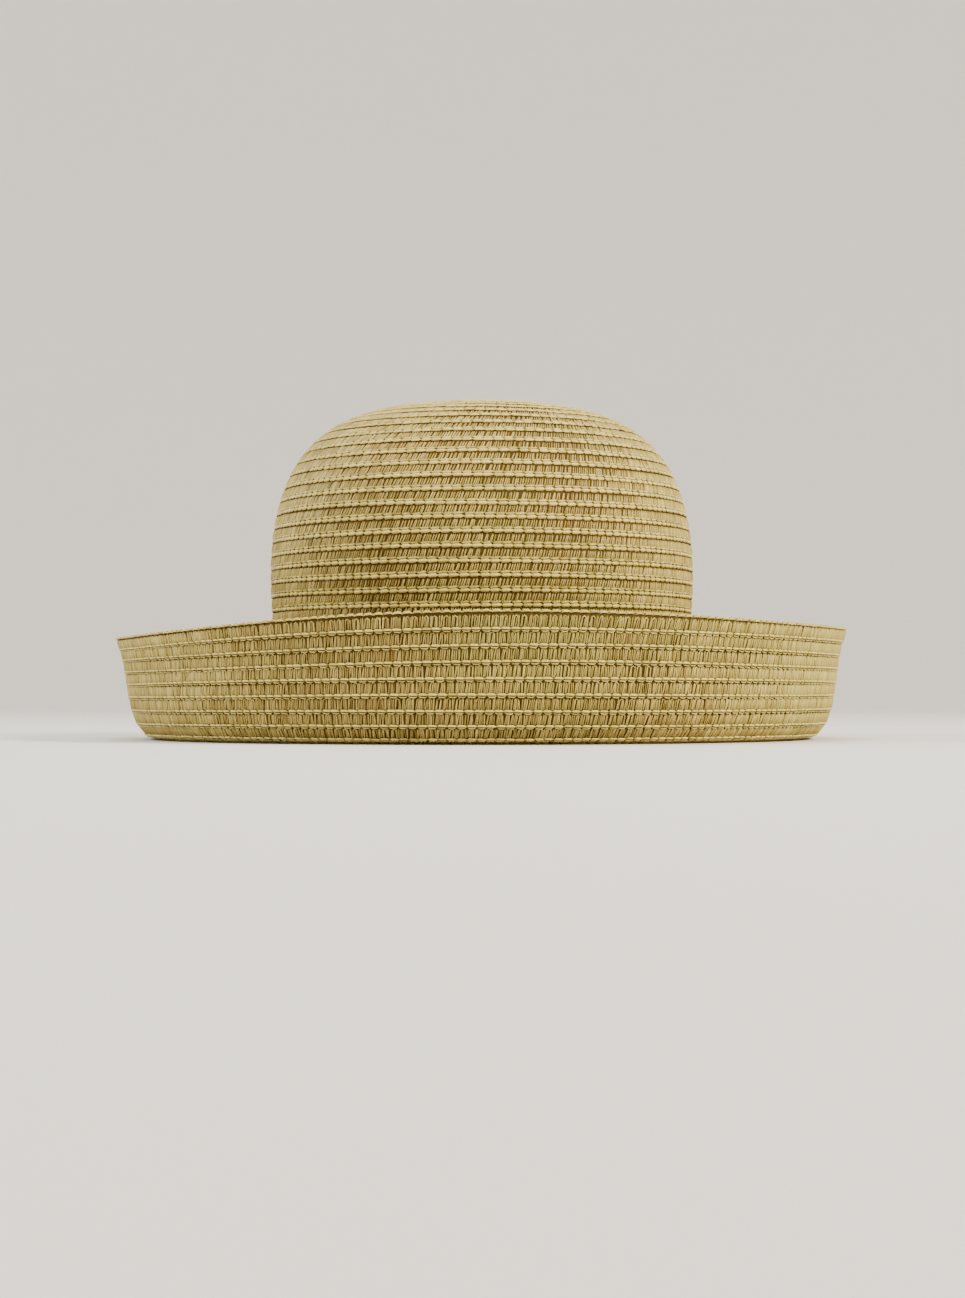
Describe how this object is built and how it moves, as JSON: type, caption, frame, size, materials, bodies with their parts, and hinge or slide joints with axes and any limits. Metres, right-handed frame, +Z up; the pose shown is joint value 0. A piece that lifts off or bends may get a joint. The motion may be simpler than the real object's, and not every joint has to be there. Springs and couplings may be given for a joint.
{
  "type": "sun hat",
  "caption": "Straw sun hat with an oval domed crown, a brim rolled up all round into a raised band, and a smooth dark sweatband inside the head opening.",
  "frame": {"origin": "centre of the hat's outline, on the surface that the brim rests on", "axes": "+Z up through the crown, centre front towards -Y, the head's long axis along Y"},
  "size_m": [0.3004, 0.3284, 0.1391],
  "materials": {
    "straw": "natural wheat-coloured paper straw braid, matt with a soft sheen",
    "ribbon": "smooth dark olive-brown ribbon, matt"
  },
  "bodies": {
    "root": {"brim": "straw", "rolled_edge": "straw", "crown_side": "straw", "crown_tip": "straw", "sweatband": "ribbon"}
  },
  "joints": []
}
